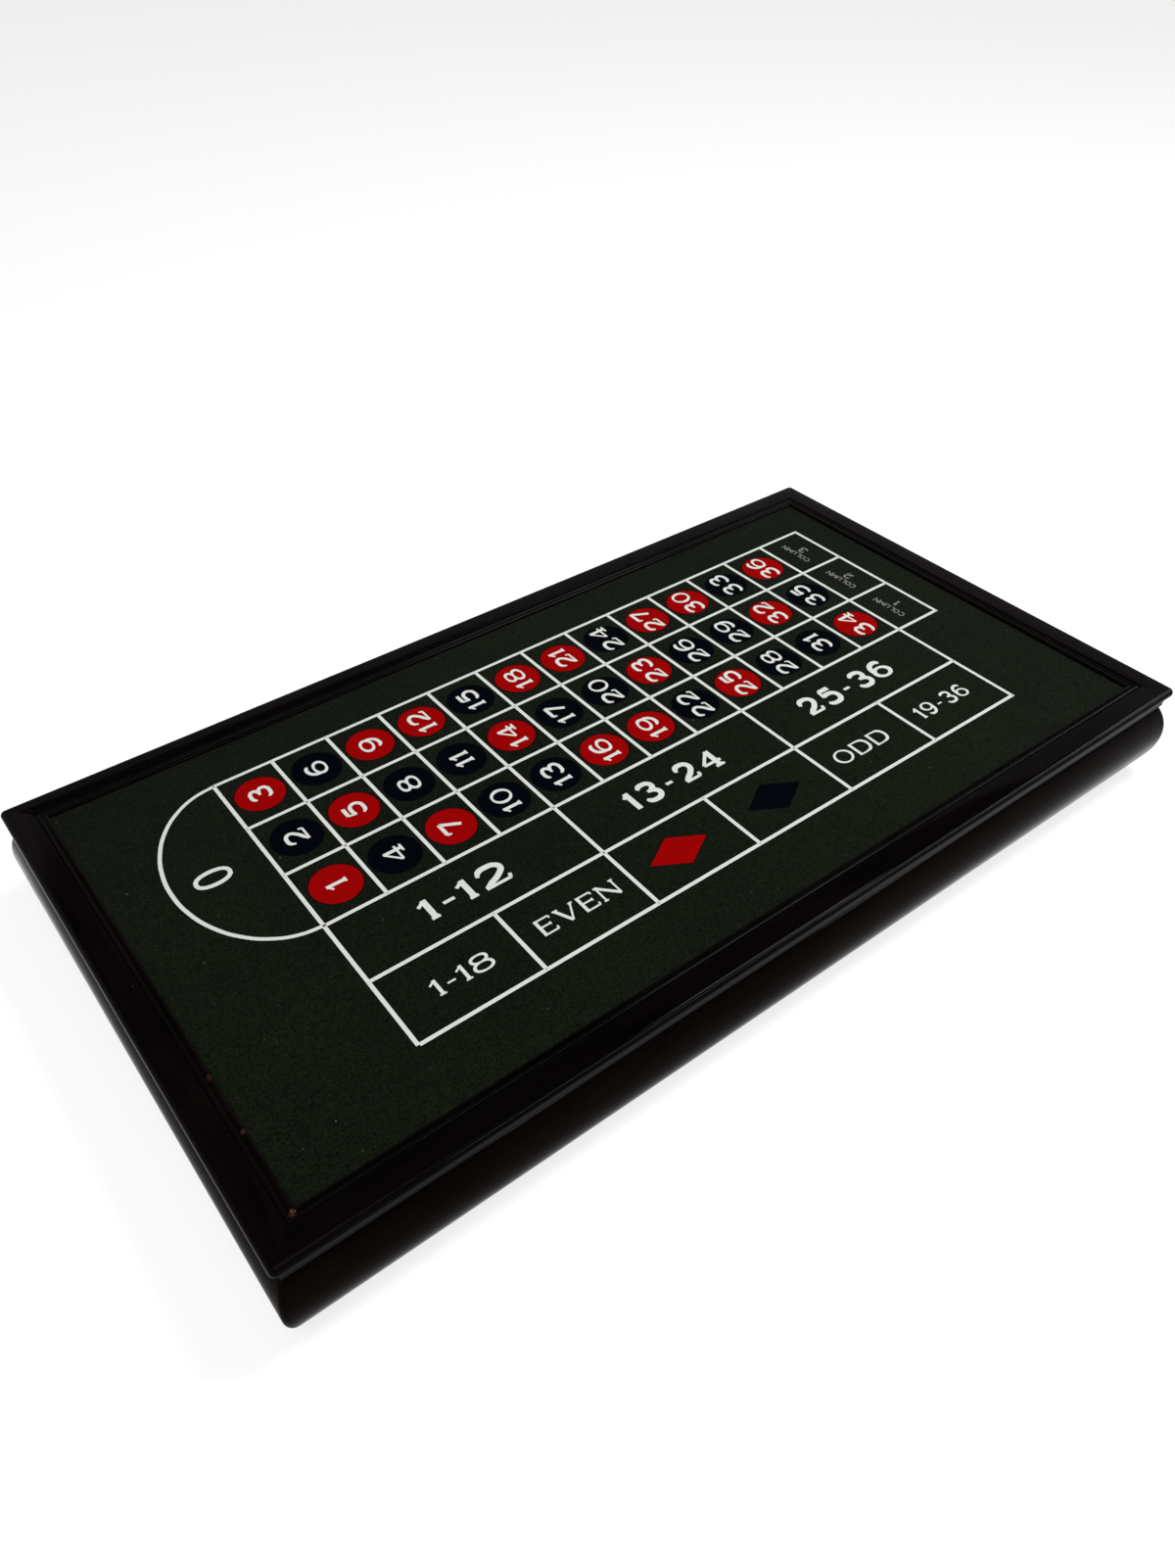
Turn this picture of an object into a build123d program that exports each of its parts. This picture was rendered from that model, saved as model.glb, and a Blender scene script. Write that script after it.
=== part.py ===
from build123d import *
from math import cos, radians, sin, sqrt
import os

# A fitted roulette case: a shallow bombé box with a hinged lid that carries the felt betting layout.
# Frame: X along the long sides (zero end at -X), Y from the player's side to the hinge side, Z up.
# The origin is on the ground, under the middle of the layout.

# ---------------------------------------------------------------- driving dimensions (mm)
sight_length = 511.0  # felt that shows inside the lid frame, along X
sight_width = 264.0  # the same, along Y
fit_gap = 0.2  # clearance all round a panel or a block that is let in
slip_gap = 0.5  # clearance round what has to lift or drop freely

# lid
frame_width = 19.0  # sight edge to the tip of the nose
frame_rise = 2.2  # flat top of the frame above the felt
nose_radius = 2.8  # round-over at the outer edge
frame_foot = 16.0  # sight edge to the outside of the frame's foot
frame_drop = 9.6  # felt down to the meeting face of lid and case
rebate = 5.0  # width of the frame's lip over the felt
cove_start = 1.6  # depth under the nose at which the cove begins
cove_ease = 0.6
cove_fall = 3.4  # from the top of the cove to its middle
cove_belly = 0.5
foot_rise = 1.6  # upright part of the frame's foot
bead_width = 2.2
quirk_width = 0.7
quirk_depth = 0.9
felt_thick = 1.0
panel_thick = 5.0
batten_wide = 7.5  # part of the batten that drops inside the case
batten_drop = 4.4  # how far it drops below the meeting face
batten_ease = 1.0

# case
wall_inset = 2.0  # inner face of the rails, inside the sight edge
bulge_reach = 20.7  # sight edge to the fullest point of the bulging side
bulge_depth = 29.0  # felt down to that point
bulge_radius = 35.5
case_depth = 54.0  # felt down to the underside of the case
toe_rise = 1.0  # chamfer at the foot of the bulging side
toe_set = 1.2
base_thick = 4.0
base_rebate = 4.0  # how far the base reaches under the rails, past the sight edge
foot_side = 20.0
foot_height = 2.0
foot_inset = 24.0
board_thick = 6.0
board_height = 33.0
board_round = 1.5
rack_bay = 70.0
rake_bay = 86.0

# corner tongues
tongue_thick = 2.0
case_tongue_wide = 12.0
case_tongue_set = 7.0
lid_tongue_wide = 6.0
lid_tongue_set = 10.5
tongue_margin = 6.0  # case tongue stays this far from the rail's top and from the base
lid_tongue_margin = 1.0

# hinges
hinge_length = 50.0
hinge_pitch = 150.0  # from the middle of the case
barrel_radius = 2.1
barrel_set = 18.4  # sight edge to the hinge axis
leaf_thick = 1.0
leaf_seam = 0.05  # half of the joint between the two closed leaves
leaf_edge = 5.5  # sight edge to the inner edge of a leaf
pin_radius = 1.0
pin_running = 0.06
knuckle_gap = 0.2
knuckles = 3

# wheel
wheel_gap = 6.0  # bowl to the long walls
wheel_side_gap = 2.0  # bowl to the end wall and to the board beside it
bowl_height = 28.0
bowl_rim = 6.5  # thickness of the rim at its top
bowl_floor = 4.5
track_width = 8.5
track_drop = 8.0  # rim down to the outer end of the apron
track_fall = 2.5  # slope of the ball track, from its wall to the apron
apron_edge = 14.0  # height of the apron's inner edge
apron_width = 24.5
rotor_gap = 2.0
rotor_lift = 1.0  # height of the boss that the disc turns on
flange_thick = 1.5
number_width = 17.0
number_rise = 6.5  # outer edge of the number ring above the disc
number_inner_rise = 5.0
pocket_length = 16.5
pockets = 37
fret_thick = 0.8
cone_rim = 4.0
cone_height = 14.4
cone_top = 12.0
boss_radius = 14.0
spindle_radius = 4.0
spindle_running = 0.05
hub_radius = 8.0
hub_height = 10.6
hub_foot = 1.2
hub_flare = 1.5  # the foot stands this far outside the hub
hub_ease = 2.0
arm_radius = 1.6
arm_sides = 8
arm_reach = 25.0
knob_radius = 3.0
knob_bevel = 1.4
knob_length = 5.8
finial_radius = 3.2
finial_length = 6.2
neck_radius = 1.8
neck_height = 1.8
deflectors = 8
deflector_long = 8.0
deflector_wide = 3.0
deflector_rise = 2.4
deflector_slope = 18.0  # degrees

# chips, rake and balls
chip_thick = 3.3
chip_seam = 0.1
chip_sides = 12
chips_in_roll = 11
chip_seat = 0.3
chip_headroom = 0.7  # chips to the lining of the closed lid
trough_floor = 2.7
trough_web = 0.2  # wood between two troughs
rack_cheek = 8.1  # room from each end of the rack's bay to its first trough
trough_end = 7.0
trough_spare = 12.0
rack_height = 18.0
rake_radius = 4.0
rake_knob = 5.0
rake_knob_long = 8.0
rake_lift = 0.3  # under the knob
tenon_radius = 2.4
tenon_long = 10.0
head_length = 80.0
head_wide = 22.0
head_thick = 7.0
head_edge = 2.0  # thickness along the working edge
rake_end_gap = 4.0
ball_radius = 6.5
ball_seat = 0.3
ball_rail_wide = 16.0
ball_rail_height = 11.0
ball_inset = 14.0

colours = ["red", "white", "blue", "yellow", "green", "black"]

# ---------------------------------------------------------------- places worked out from them
half_x = sight_length / 2
half_y = sight_width / 2
felt_top = foot_height + case_depth
frame_top = felt_top + frame_rise
meet = felt_top - frame_drop  # the plane where the closed lid lies on the case
panel_under = felt_top - felt_thick - panel_thick
lining_under = panel_under - felt_thick
base_top = foot_height + base_thick
floor = base_top + felt_thick  # top of the floor felt
room_x = half_x - wall_inset
room_y = half_y - wall_inset
board_top = floor + board_height
axis_y = half_y + barrel_set

# one plane square to each side and one flat on the ground, both with local x pointing outwards
sides = {
    "front": (Vector(0, -1, 0), half_y, half_x),
    "back": (Vector(0, 1, 0), half_y, half_x),
    "left": (Vector(-1, 0, 0), half_x, half_y),
    "right": (Vector(1, 0, 0), half_x, half_y),
}
corners = [(sx, sy) for sx in (-1, 1) for sy in (-1, 1)]


def section_plane(side):
    outward, set_back, _ = sides[side]
    return Plane(origin=outward * set_back, x_dir=outward, z_dir=outward.cross(Vector(0, 0, 1)))


def plan_plane(side):
    outward, set_back, _ = sides[side]
    return Plane(origin=outward * set_back, x_dir=outward, z_dir=(0, 0, 1))


def upright(x, y=0.0, z=0.0):
    """A plane that stands along X, with local y upwards."""
    return Plane(origin=(x, y, z), x_dir=(1, 0, 0), z_dir=(0, -1, 0))


def run_out(section, side):
    """Draws a section out along its side and trims both ends to the mitres."""
    half_run = sides[side][2]
    past = 2 * bulge_reach
    with BuildPart() as run:
        extrude(section, amount=half_run + past, both=True)
        with BuildSketch(plan_plane(side)):
            with BuildLine():
                Polyline(
                    (past, -half_run - past),
                    (past, half_run + past),
                    (-past, half_run - past),
                    (-past, -half_run + past),
                    close=True,
                )
            make_face()
        extrude(amount=frame_top + past, mode=Mode.INTERSECT)
    return run.part


def tongues(set_out, wide, low, high, gap=0.0):
    """Makes the four loose tongues across the mitres, larger by the gap where they cut slots."""
    with BuildPart() as made:
        with BuildSketch(Plane.XY.offset(low - gap)):
            for sx, sy in corners:
                place = (sx * (half_x + set_out), sy * (half_y + set_out), 0)
                with Locations(Location(place, (0, 0, -45 * sx * sy))):
                    Rectangle(wide + 2 * gap, tongue_thick + 2 * gap)
        extrude(amount=high - low + 2 * gap)
    return made.part


def hinge_housing(up):
    """Makes what the leaves take out of the lid frame, or of the rail below it."""
    way = 1 if up else -1
    with BuildPart() as taken:
        with BuildSketch(Plane.XY.offset(meet)):
            with Locations(*[(x, half_y + (leaf_edge + frame_width) / 2) for x in hinge_x]):
                Rectangle(hinge_length + 2 * leaf_seam, frame_width - leaf_edge + 2 * leaf_seam)
        extrude(amount=way * leaf_thick)
    return taken.part


def bead(spot, radius, length, bevel, count):
    """Makes a faceted bead: a prism along the plane's z with both its ends bevelled."""
    with BuildPart() as made:
        with BuildSketch(spot):
            RegularPolygon(radius, count)
        extrude(amount=length)
        along = made.faces().sort_by(Axis(spot.origin, spot.z_dir))
        chamfer(along[0].edges() + along[-1].edges(), bevel)
    return made.part


def finish(made, name):
    made.part.label = name
    export_step(made.part, f"parts/{name}.step")


os.makedirs("parts", exist_ok=True)

# ---------------------------------------------------------------- hinge places, used by frame, rail and leaves
hinge_x = [-hinge_pitch, hinge_pitch]
knuckle_length = hinge_length / knuckles
case_tongue = (case_tongue_set, case_tongue_wide, base_top + tongue_margin, meet - tongue_margin)
lid_tongue = (
    lid_tongue_set,
    lid_tongue_wide,
    meet + lid_tongue_margin,
    felt_top - lid_tongue_margin,
)

# ---------------------------------------------------------------- lid frame: four mitred mouldings
cove_top = felt_top - cove_start
shoulder = bead_width + quirk_width  # first bead and its quirk
flat_start = 2 * shoulder


bead_low = felt_top + frame_rise / 4
bead_high = bead_low + 0.6 * bead_width
astragal_low = felt_top + frame_rise / 2
groove = frame_top - 1.4 * quirk_depth


def lid_frame_section(side):
    with BuildSketch(section_plane(side)) as section:
        with BuildLine():
            lip = Line((0, felt_top), (0, bead_low))
            bead = JernArc(lip @ 1, (0, 1), 0.6 * bead_width, -90)
            quirk = Polyline(
                bead @ 1,
                (bead_width, bead_high),
                (bead_width, bead_high - quirk_depth),
                (shoulder, bead_high - quirk_depth),
                (shoulder, astragal_low),
            )
            astragal = ThreePointArc(
                quirk @ 1,
                (shoulder + bead_width / 2, frame_top - 0.1),
                (shoulder + bead_width, astragal_low),
            )
            second = Polyline(
                astragal @ 1,
                (shoulder + bead_width, groove),
                (flat_start, groove),
                (flat_start, frame_top),
                (frame_width - nose_radius, frame_top),
            )
            nose = JernArc(second @ 1, (1, 0), nose_radius, -90)
            under = Polyline(
                nose @ 1,
                (frame_width, cove_top),
                (frame_width - cove_ease, cove_top - cove_ease),
            )
            cove = ThreePointArc(
                under @ 1,
                (frame_foot + cove_belly, cove_top - cove_fall),
                (frame_foot, meet + foot_rise),
            )
            Polyline(
                cove @ 1,
                (frame_foot, meet),
                (rebate, meet),
                (rebate, felt_top),
                lip @ 0,
            )
        make_face()
    return section.sketch


for side in sides:
    with BuildPart() as lid_frame:
        add(run_out(lid_frame_section(side), side))
        add(tongues(*lid_tongue, gap=leaf_seam), mode=Mode.SUBTRACT)
        if side == "back":
            add(hinge_housing(up=True), mode=Mode.SUBTRACT)
    finish(lid_frame, f"lid_frame_{side}")

with BuildPart() as lid_corner_tongues:
    add(tongues(*lid_tongue))
finish(lid_corner_tongues, "lid_corner_tongues")

# ---------------------------------------------------------------- lid panel, felt, battens and lining
panel_reach = rebate - fit_gap
batten_low = meet - batten_drop
batten_out = -wall_inset - slip_gap
batten_in = batten_out - batten_wide
wing_low = meet + leaf_seam * 2

for name, low, thick, reach in (
    ("lid_panel", panel_under, panel_thick, panel_reach),
    ("layout_felt", panel_under + panel_thick, felt_thick, panel_reach),
    ("lid_lining", lining_under, felt_thick, batten_in - fit_gap),
):
    with BuildPart() as sheet:
        with BuildSketch(Plane.XY.offset(low)):
            Rectangle(sight_length + 2 * reach, sight_width + 2 * reach)
        extrude(amount=thick)
    finish(sheet, name)

for side in sides:
    with BuildSketch(section_plane(side)) as batten_section:
        with BuildLine():
            Polyline(
                (batten_in, panel_under),
                (panel_reach, panel_under),
                (panel_reach, wing_low),
                (batten_out, wing_low),
                (batten_out, batten_low + batten_ease),
                (batten_out - batten_ease, batten_low),
                (batten_in, batten_low),
                close=True,
            )
        make_face()
    with BuildPart() as lid_batten:
        add(run_out(batten_section.sketch, side))
    finish(lid_batten, f"lid_batten_{side}")

# ---------------------------------------------------------------- case rails: bulging, mitred, rebated for the base
bulge_centre = bulge_reach - bulge_radius
bulge_z = felt_top - bulge_depth


def bulge_at(z):
    return bulge_centre + sqrt(bulge_radius**2 - (z - bulge_z) ** 2)


def case_rail_section(side):
    toe = foot_height + toe_rise
    with BuildSketch(section_plane(side)) as section:
        with BuildLine():
            rim = Line((-wall_inset, meet), (bulge_at(meet), meet))
            bulge = ThreePointArc(rim @ 1, (bulge_reach, bulge_z), (bulge_at(toe), toe))
            Polyline(
                bulge @ 1,
                (bulge_at(toe) - toe_set, foot_height),
                (base_rebate, foot_height),
                (base_rebate, base_top),
                (-wall_inset, base_top),
                rim @ 0,
            )
        make_face()
    return section.sketch


for side in sides:
    with BuildPart() as case_rail:
        add(run_out(case_rail_section(side), side))
        add(tongues(*case_tongue, gap=leaf_seam), mode=Mode.SUBTRACT)
        if side == "back":
            add(hinge_housing(up=False), mode=Mode.SUBTRACT)
    finish(case_rail, f"case_rail_{side}")

with BuildPart() as case_corner_tongues:
    add(tongues(*case_tongue))
finish(case_corner_tongues, "case_corner_tongues")

# ---------------------------------------------------------------- base let into the rails, felt pads and floor felt
base_reach = base_rebate - fit_gap

with BuildPart() as base_panel:
    with BuildSketch(Plane.XY.offset(foot_height)):
        Rectangle(sight_length + 2 * base_reach, sight_width + 2 * base_reach)
    extrude(amount=base_thick)
finish(base_panel, "base_panel")

with BuildPart() as foot_pads:
    with BuildSketch():
        with GridLocations(sight_length - 2 * foot_inset, sight_width - 2 * foot_inset, 2, 2):
            Rectangle(foot_side, foot_side)
    extrude(amount=foot_height)
finish(foot_pads, "foot_pads")

with BuildPart() as floor_felt:
    with BuildSketch(Plane.XY.offset(base_top)):
        Rectangle(2 * room_x - 2 * fit_gap, 2 * room_y - 2 * fit_gap)
    extrude(amount=felt_thick)
finish(floor_felt, "floor_felt")

# ---------------------------------------------------------------- hinges: two leaves each, the lower one with the pin

def hinge_leaves(first, up):
    """Makes one side of both hinges: plates, every other knuckle from the first on, pins or bores."""
    low = meet + leaf_seam if up else meet - leaf_thick
    with BuildPart() as leaves:
        with BuildSketch(Plane.XY.offset(low)):
            with Locations(*[(x, half_y + (leaf_edge + barrel_set) / 2) for x in hinge_x]):
                Rectangle(hinge_length, barrel_set - leaf_edge)
        extrude(amount=leaf_thick - leaf_seam)
        for x in hinge_x:
            for k in range(knuckles):
                own = k % 2 == first
                start = x - hinge_length / 2 + k * knuckle_length
                trim = knuckle_gap / 2 if own else -knuckle_gap / 2
                with BuildSketch(Plane(origin=(start + trim, axis_y, meet), z_dir=(1, 0, 0))):
                    Circle(barrel_radius if own else barrel_radius + 2 * knuckle_gap)
                extrude(amount=knuckle_length - 2 * trim, mode=Mode.ADD if own else Mode.SUBTRACT)
        for x in hinge_x:
            with BuildSketch(Plane(origin=(x, axis_y, meet), z_dir=(1, 0, 0))):
                Circle(pin_radius + pin_running if up else pin_radius)
            through = Mode.SUBTRACT if up else Mode.ADD
            extrude(amount=hinge_length / 2 - knuckle_gap, both=True, mode=through)
    return leaves


finish(hinge_leaves(first=0, up=False), "hinge_leaves_case")
finish(hinge_leaves(first=1, up=True), "hinge_leaves_lid")

# ---------------------------------------------------------------- boards that part the inside
wheel_radius = room_y - wheel_gap
wheel_x = -room_x + wheel_side_gap + wheel_radius
bay_left = wheel_x + wheel_radius + wheel_side_gap  # near face of the board beside the wheel
zone_left = bay_left + board_thick
zone_right = room_x
zone_mid = (zone_left + zone_right) / 2
rack_low = room_y - rack_bay
rake_high = rack_low - board_thick
rake_low = rake_high - rake_bay
tray_high = rake_low - board_thick

for name, x_low, x_high, y_low, y_high in (
    ("bay_partition", bay_left, zone_left, -room_y + fit_gap, room_y - fit_gap),
    ("rack_partition", zone_left, zone_right - fit_gap, rake_high, rack_low),
    ("tray_partition", zone_left, zone_right - fit_gap, tray_high, rake_low),
):
    with BuildPart() as board:
        with BuildSketch(Plane.XY.offset(floor)):
            with Locations(((x_low + x_high) / 2, (y_low + y_high) / 2)):
                Rectangle(x_high - x_low, y_high - y_low)
        extrude(amount=board_height)
        fillet(board.edges().group_by(Axis.Z)[-1].sort_by(SortBy.LENGTH)[-2:], board_round)
    finish(board, name)

# ---------------------------------------------------------------- wheel: turned bowl, standing on the floor felt
bowl_low = floor
bowl_top = bowl_low + bowl_height
apron_low = bowl_low + apron_edge
apron_high = bowl_top - track_drop
rim_in = wheel_radius - bowl_rim
apron_out = rim_in - track_width
well_radius = apron_out - apron_width
well_floor = bowl_low + bowl_floor
boss_top = well_floor + rotor_lift
track_lip = apron_high + track_fall  # foot of the wall behind the ball track
wheel_axis = Axis((wheel_x, 0, 0), (0, 0, 1))
wheel_section = upright(wheel_x)

with BuildPart() as wheel_bowl:
    with BuildSketch(wheel_section):
        with BuildLine():
            Polyline(
                (spindle_radius, bowl_low),
                (wheel_radius, bowl_low),
                (wheel_radius, bowl_top),
                (rim_in, bowl_top),
                (rim_in, track_lip),
                (apron_out, apron_high),
                (well_radius, apron_low),
                (well_radius, well_floor),
                (boss_radius, well_floor),
                (boss_radius, boss_top),
                (spindle_radius, boss_top),
                close=True,
            )
        make_face()
    revolve(axis=wheel_axis)
finish(wheel_bowl, "wheel_bowl")

# lozenge stops on the apron, lying along and across the ball's way in turn
deflector_ring = (apron_out + well_radius) / 2
apron_slope = (apron_high - apron_low) / apron_width
apron_mid = apron_low + apron_slope * (deflector_ring - well_radius)
with BuildPart() as ball_deflectors:
    for k in range(deflectors):
        turn = radians(360 * k / deflectors)
        spoke = Vector(cos(turn), sin(turn), 0)
        spot = Plane(
            origin=Vector(wheel_x, 0, apron_mid - deflector_rise) + spoke * deflector_ring,
            x_dir=spoke,
            z_dir=(0, 0, 1),
        )
        long, wide = (deflector_long, deflector_wide) if k % 2 else (deflector_wide, deflector_long)
        with BuildSketch(spot):
            with BuildLine():
                Polyline((long, 0), (0, wide), (-long, 0), (0, -wide), close=True)
            make_face()
        extrude(amount=2 * deflector_rise, taper=deflector_slope)
    add(wheel_bowl.part, mode=Mode.SUBTRACT)
finish(ball_deflectors, "ball_deflectors")

# ---------------------------------------------------------------- spindle, pressed into the bowl
rotor_low = boss_top
flange_top = rotor_low + flange_thick
rotor_radius = well_radius - rotor_gap
number_in = rotor_radius - number_width
pocket_in = number_in - pocket_length
cone_peak = flange_top + cone_height
spindle_top = cone_peak - 1.0
hub_top = cone_peak + hub_height

with BuildPart() as spindle:
    with BuildSketch(Plane.XY.offset(bowl_low)):
        with Locations((wheel_x, 0)):
            Circle(spindle_radius)
    extrude(amount=spindle_top - bowl_low)
finish(spindle, "spindle")

# ---------------------------------------------------------------- wheelhead: flanged cone, number ring, frets
with BuildPart() as rotor_cone:
    with BuildSketch(wheel_section):
        with BuildLine():
            Polyline(
                (spindle_radius + spindle_running, cone_peak),
                (spindle_radius + spindle_running, rotor_low),
                (rotor_radius, rotor_low),
                (rotor_radius, flange_top),
                (pocket_in, flange_top),
                (pocket_in, flange_top + cone_rim),
                (2 * cone_top, flange_top + 0.55 * cone_height),
                (cone_top, cone_peak),
                close=True,
            )
        make_face()
    revolve(axis=wheel_axis)
finish(rotor_cone, "rotor_cone")

with BuildPart() as number_ring:
    with BuildSketch(wheel_section):
        with BuildLine():
            Polyline(
                (number_in, flange_top),
                (rotor_radius, flange_top),
                (rotor_radius, flange_top + number_rise),
                (number_in, flange_top + number_inner_rise),
                close=True,
            )
        make_face()
    revolve(axis=wheel_axis)
finish(number_ring, "number_ring")

fret_in = pocket_in + fit_gap
fret_out = number_in - fit_gap
with BuildPart() as pocket_frets:
    for k in range(pockets):
        turn = 360 * (k + 0.5) / pockets
        with BuildSketch(wheel_section.rotated((0, 0, turn))):
            with BuildLine():
                Polyline(
                    (fret_in, flange_top),
                    (fret_out, flange_top),
                    (fret_out, flange_top + number_inner_rise),
                    (fret_in, flange_top + cone_rim),
                    close=True,
                )
            make_face()
        extrude(amount=fret_thick / 2, both=True)
finish(pocket_frets, "pocket_frets")

# ---------------------------------------------------------------- turret: hub, four arms with knobs, finial
arm_z = cone_peak + 0.65 * hub_height
finial_sides = 2 * arm_sides
arm_ways = [
    Plane(origin=(wheel_x, 0, arm_z), z_dir=(1, 0, 0)).rotated((0, 0, 45 + 90 * k)) for k in range(4)
]
with BuildPart() as turret_hub:
    for radius, height in ((hub_radius + hub_flare, hub_foot), (hub_radius, hub_height)):
        with BuildSketch(Plane.XY.offset(cone_peak)):
            with Locations((wheel_x, 0)):
                RegularPolygon(radius, finial_sides)
        extrude(amount=height)
    chamfer(turret_hub.faces().sort_by(Axis.Z)[-1].edges(), hub_ease)
    for way in arm_ways:
        with BuildSketch(way):
            RegularPolygon(arm_radius, arm_sides)
        extrude(amount=2 * hub_radius, mode=Mode.SUBTRACT)
finish(turret_hub, "turret_hub")

with BuildPart() as turret_arms:
    for way in arm_ways:
        with BuildSketch(way.offset(arm_radius)):
            RegularPolygon(arm_radius, arm_sides)
        extrude(amount=arm_reach - arm_radius)
finish(turret_arms, "turret_arms")

with BuildPart() as arm_knobs:
    for way in arm_ways:
        add(bead(way.offset(arm_reach), knob_radius, knob_length, knob_bevel, arm_sides))
finish(arm_knobs, "arm_knobs")

with BuildPart() as turret_finial:
    with BuildSketch(Plane.XY.offset(hub_top)):
        with Locations((wheel_x, 0)):
            RegularPolygon(neck_radius, finial_sides)
    extrude(amount=neck_height)
    tip = Plane(origin=(wheel_x, 0, hub_top + neck_height))
    add(bead(tip, finial_radius, finial_length, knob_bevel, finial_sides))
finish(turret_finial, "turret_finial")

# ---------------------------------------------------------------- chip rack and six rolls of chips on edge
rack_room = zone_right - zone_left - 2 * rack_cheek
trough_pitch = rack_room / len(colours)
trough_depth = lining_under - chip_headroom - floor - trough_floor
trough_radius = min(trough_pitch - trough_web, trough_depth) / 2
chip_radius = trough_radius - chip_seat
trough_z = floor + trough_floor + trough_radius
roll_length = chips_in_roll * (chip_thick + chip_seam)
trough_low = rack_low + trough_end
trough_high = trough_low + roll_length + trough_spare
first_trough = zone_mid - (len(colours) - 1) / 2 * trough_pitch
trough_x = [first_trough + k * trough_pitch for k in range(len(colours))]
rack_out = room_y - fit_gap

with BuildPart() as chip_rack:
    with BuildSketch(Plane.XY.offset(floor)):
        with Locations((zone_mid, (rack_low + rack_out) / 2)):
            Rectangle(zone_right - zone_left - 2 * fit_gap, rack_out - rack_low)
    extrude(amount=rack_height)
    with BuildSketch(upright(0, trough_high, trough_z)):
        with Locations(*[(x, 0) for x in trough_x]):
            Circle(trough_radius)
    extrude(amount=trough_high - trough_low, mode=Mode.SUBTRACT)
finish(chip_rack, "chip_rack")

chip_flat = 180 / chip_sides
for colour, x in zip(colours, trough_x):
    with BuildPart() as chips:
        for k in range(chips_in_roll):
            start = trough_low + chip_seam + k * (chip_thick + chip_seam)
            with BuildSketch(upright(x, start + chip_thick, trough_z)):
                RegularPolygon(chip_radius, chip_sides, rotation=chip_flat)
            extrude(amount=chip_thick)
    finish(chips, f"chips_{colour}")

# ---------------------------------------------------------------- rake, lying along its bay
rake_y = (rake_low + rake_high) / 2
rake_z = floor + rake_knob + rake_lift
rake_axis = Axis((0, rake_y, rake_z), (1, 0, 0))
head_right = zone_right - rake_end_gap
head_left = head_right - head_wide
rake_left = zone_left + rake_end_gap
knob_end = rake_left + rake_knob_long
rake_ease = rake_knob - rake_radius

with BuildPart() as rake_handle:
    with BuildSketch(upright(0, rake_y, rake_z)):
        with BuildLine():
            Polyline(
                (rake_left, 0),
                (rake_left, rake_radius),
                (rake_left + rake_ease, rake_knob),
                (knob_end, rake_knob),
                (knob_end + rake_ease, rake_radius),
                (head_left, rake_radius),
                (head_left, tenon_radius),
                (head_left + tenon_long, tenon_radius),
                (head_left + tenon_long, 0),
                close=True,
            )
        make_face()
    revolve(axis=rake_axis)
finish(rake_handle, "rake_handle")

with BuildPart() as rake_head:
    with BuildSketch(upright(0, rake_y + head_length / 2, rake_z)):
        with BuildLine():
            Polyline(
                (head_left, -head_thick / 2),
                (head_left, head_thick / 2),
                (head_left + head_wide / 3, head_thick / 2),
                (head_right, head_edge / 2),
                (head_right, -head_edge / 2),
                (head_left + head_wide / 3, -head_thick / 2),
                close=True,
            )
        make_face()
    extrude(amount=head_length)
    fillet(rake_head.edges().filter_by(Axis.Z).group_by(Axis.X)[0], head_wide / 3)
    with BuildSketch(Plane(origin=(head_left, rake_y, rake_z), z_dir=(1, 0, 0))):
        Circle(tenon_radius)
    extrude(amount=tenon_long, mode=Mode.SUBTRACT)
finish(rake_head, "rake_head")

# ---------------------------------------------------------------- drilled ball rail along the front wall, two balls
ball_y = -room_y + fit_gap + ball_rail_wide / 2
ball_rail_top = floor + ball_rail_height
ball_z = ball_rail_top + ball_seat
ball_places = [(zone_left + ball_inset, ball_y), (zone_right - ball_inset, ball_y)]

with BuildPart() as ball_rail:
    with BuildSketch(Plane.XY.offset(floor)):
        with Locations((zone_mid, ball_y)):
            Rectangle(zone_right - zone_left - 2 * fit_gap, ball_rail_wide)
    extrude(amount=ball_rail_height)
    with BuildSketch(Plane.XY.offset(ball_z - ball_radius - ball_seat)):
        with Locations(*ball_places):
            Circle(ball_radius + ball_seat)
    extrude(amount=ball_radius + ball_seat, mode=Mode.SUBTRACT)
finish(ball_rail, "ball_rail")

with BuildPart() as balls:
    with Locations(*[(x, y, ball_z) for x, y in ball_places]):
        Sphere(ball_radius)
finish(balls, "balls")
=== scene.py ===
import math

import bmesh
import bpy
from mathutils import Matrix, Vector


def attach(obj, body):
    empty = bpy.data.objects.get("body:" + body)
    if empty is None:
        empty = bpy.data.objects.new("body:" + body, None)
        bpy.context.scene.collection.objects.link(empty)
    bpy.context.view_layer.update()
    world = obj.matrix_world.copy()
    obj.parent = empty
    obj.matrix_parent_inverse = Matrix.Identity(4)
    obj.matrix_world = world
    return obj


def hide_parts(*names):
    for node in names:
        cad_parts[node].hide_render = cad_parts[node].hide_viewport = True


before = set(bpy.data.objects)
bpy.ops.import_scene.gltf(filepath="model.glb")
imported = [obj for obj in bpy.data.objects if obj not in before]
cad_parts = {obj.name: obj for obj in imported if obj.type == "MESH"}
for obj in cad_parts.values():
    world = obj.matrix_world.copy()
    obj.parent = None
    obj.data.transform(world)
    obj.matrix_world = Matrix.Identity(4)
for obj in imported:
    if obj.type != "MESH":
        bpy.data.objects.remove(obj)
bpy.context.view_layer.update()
scene = bpy.context.scene
scene.view_settings.view_transform = "Standard"
MM = 0.001

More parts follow.
